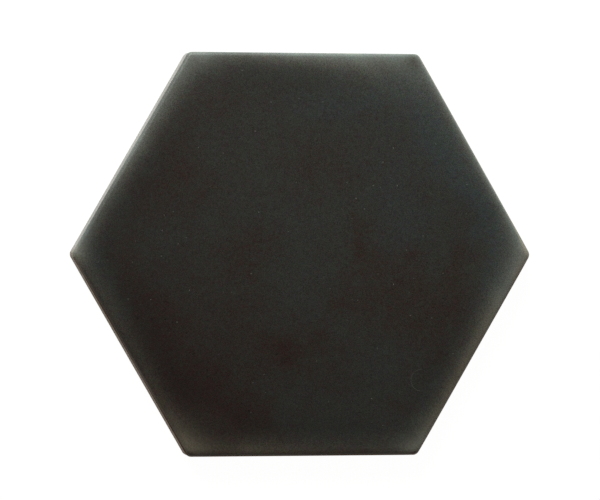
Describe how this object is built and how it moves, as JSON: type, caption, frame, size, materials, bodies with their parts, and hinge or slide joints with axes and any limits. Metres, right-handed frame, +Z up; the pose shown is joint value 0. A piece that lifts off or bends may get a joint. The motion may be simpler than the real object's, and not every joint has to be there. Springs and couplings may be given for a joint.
{
  "type": "hexagon floor tile",
  "caption": "Flat hexagonal floor tile with a dark mottled satin glaze, a face that rolls off at the border, rounded arrises and a ribbed key on the back.",
  "frame": {"origin": "middle of the bed face, the lowest plane of the tile", "axes": "+Z up through the thickness to the glazed face, +X towards a corner, +Y square on to a side"},
  "size_m": [0.1724, 0.15, 0.012],
  "materials": {
    "glazed_stoneware": "satin glaze, dark slate mottled with rusty brown, over warm grey clay"
  },
  "bodies": {
    "root": {"hexagon_tile": "glazed_stoneware"}
  },
  "joints": []
}
